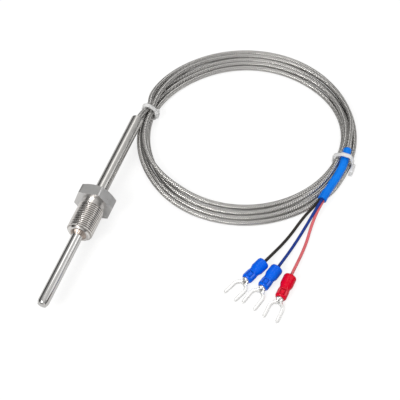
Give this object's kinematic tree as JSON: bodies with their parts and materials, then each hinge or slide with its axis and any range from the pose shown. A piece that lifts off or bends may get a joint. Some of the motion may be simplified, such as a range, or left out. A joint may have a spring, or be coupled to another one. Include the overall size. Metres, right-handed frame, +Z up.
{
  "type": "threaded thermocouple probe",
  "caption": "Screw-in temperature probe with a stainless sheath, a hexagon fitting with male thread, a coiled braided cable, and leads ending in insulated fork terminals.",
  "frame": {"origin": "On the table under the middle of the probe's length, below its axis.", "axes": "+Z up. The probe lies along Y, its tip towards -Y and its cable end towards +Y. +X is to the side of the coil."},
  "size_m": [0.1177, 0.1859, 0.0184],
  "materials": {
    "stainless": "satin",
    "braid": "woven",
    "ceramic": "matte",
    "seal": "matte",
    "tinned": "bright",
    "nylon": "milky",
    "shrink_blue": "satin",
    "vinyl_blue": "glossy",
    "vinyl_red": "glossy",
    "lead_black": "woven",
    "lead_blue": "woven",
    "lead_red": "woven"
  },
  "bodies": {
    "root": {"sensing_sheath": "stainless", "threaded_fitting": "stainless", "front_weld": "stainless", "upper_tube": "stainless", "sensing_element": "ceramic", "tip_paste": "ceramic", "insulator": "ceramic", "core_1": "tinned", "core_2": "tinned", "core_3": "tinned", "cable_seal": "seal", "shrink_sleeve": "shrink_blue", "cable_covered_end": "braid", "cable_coil": "braid", "cable_free_run": "braid", "cable_tie_left": "nylon", "cable_tie_right": "nylon", "fork_terminal_black": "tinned", "bare_end_black": "tinned", "terminal_grip_black": "vinyl_blue", "lead_black": "lead_black", "fork_terminal_blue": "tinned", "bare_end_blue": "tinned", "terminal_grip_blue": "vinyl_blue", "lead_blue": "lead_blue", "fork_terminal_red": "tinned", "bare_end_red": "tinned", "terminal_grip_red": "vinyl_red", "lead_red": "lead_red"}
  },
  "joints": []
}
